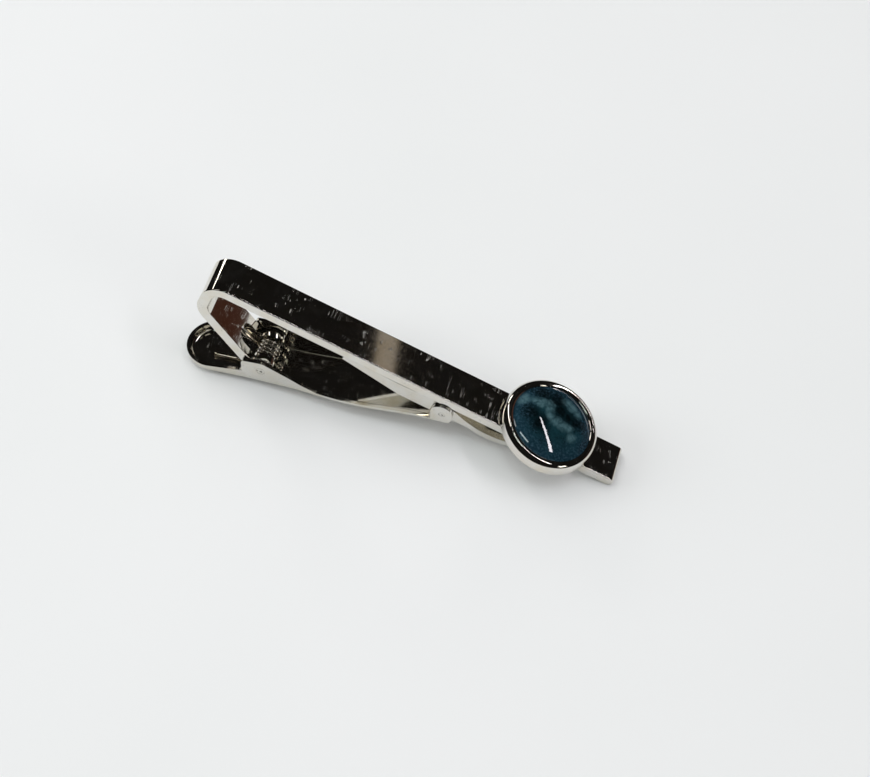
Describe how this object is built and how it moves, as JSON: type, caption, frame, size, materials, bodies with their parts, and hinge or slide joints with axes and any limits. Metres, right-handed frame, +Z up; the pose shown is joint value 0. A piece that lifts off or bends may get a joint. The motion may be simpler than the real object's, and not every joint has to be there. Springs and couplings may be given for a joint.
{
  "type": "tie clip",
  "caption": "Spring tie clip: a folded metal strip, a pivoted lever with a floating jaw, and a round glazed stone in a bezel cup.",
  "frame": {"origin": "bottom centre of the whole clip's box, on the table it lies on", "axes": "+X from the hairpin fold to the strip's tip, +Y across the clip, +Z up from the table"},
  "size_m": [0.059, 0.0132, 0.0173],
  "materials": {
    "strip plate": "mirror-polished silver-tone plating with fine handling scratches",
    "lever plate": "bright silver-tone plating over a stamped sheet",
    "rivet": "plated rivet ends, flush with the flanges",
    "spring wire": "bright drawn wire",
    "glaze": "glossy mottled teal and black glaze",
    "resin": "cured clear glue",
    "solder": "dull solder"
  },
  "bodies": {
    "strip": {"tie_bar": "strip plate", "bezel_cup": "strip plate", "cabochon": "glaze", "adhesive_bed": "resin", "solder_joint": "solder", "torsion_spring": "spring wire"},
    "lever": {"clip_lever": "lever plate", "pivot_pin": "rivet", "jaw_pin": "rivet"},
    "jaw": {"jaw_leaf": "lever plate"}
  },
  "joints": [
    {"name": "lever_swing", "type": "hinge", "parent": "strip", "child": "lever", "pos_m": [-0.01838, 0, 0.00333], "axis": [0, 1, 0], "range_deg": [0, 20], "stiffness_Nm_per_rad": 0.02, "springref_deg": -51.57, "deforming": ["torsion_spring"]},
    {"name": "jaw_rock", "type": "hinge", "parent": "lever", "child": "jaw", "pos_m": [0.00601, 0, 0.00517], "axis": [0, 1, 0], "range_deg": [-20, 0]}
  ],
  "couplings": [
    {"joint": "jaw_rock", "follows": "lever_swing", "ratio": -1}
  ]
}
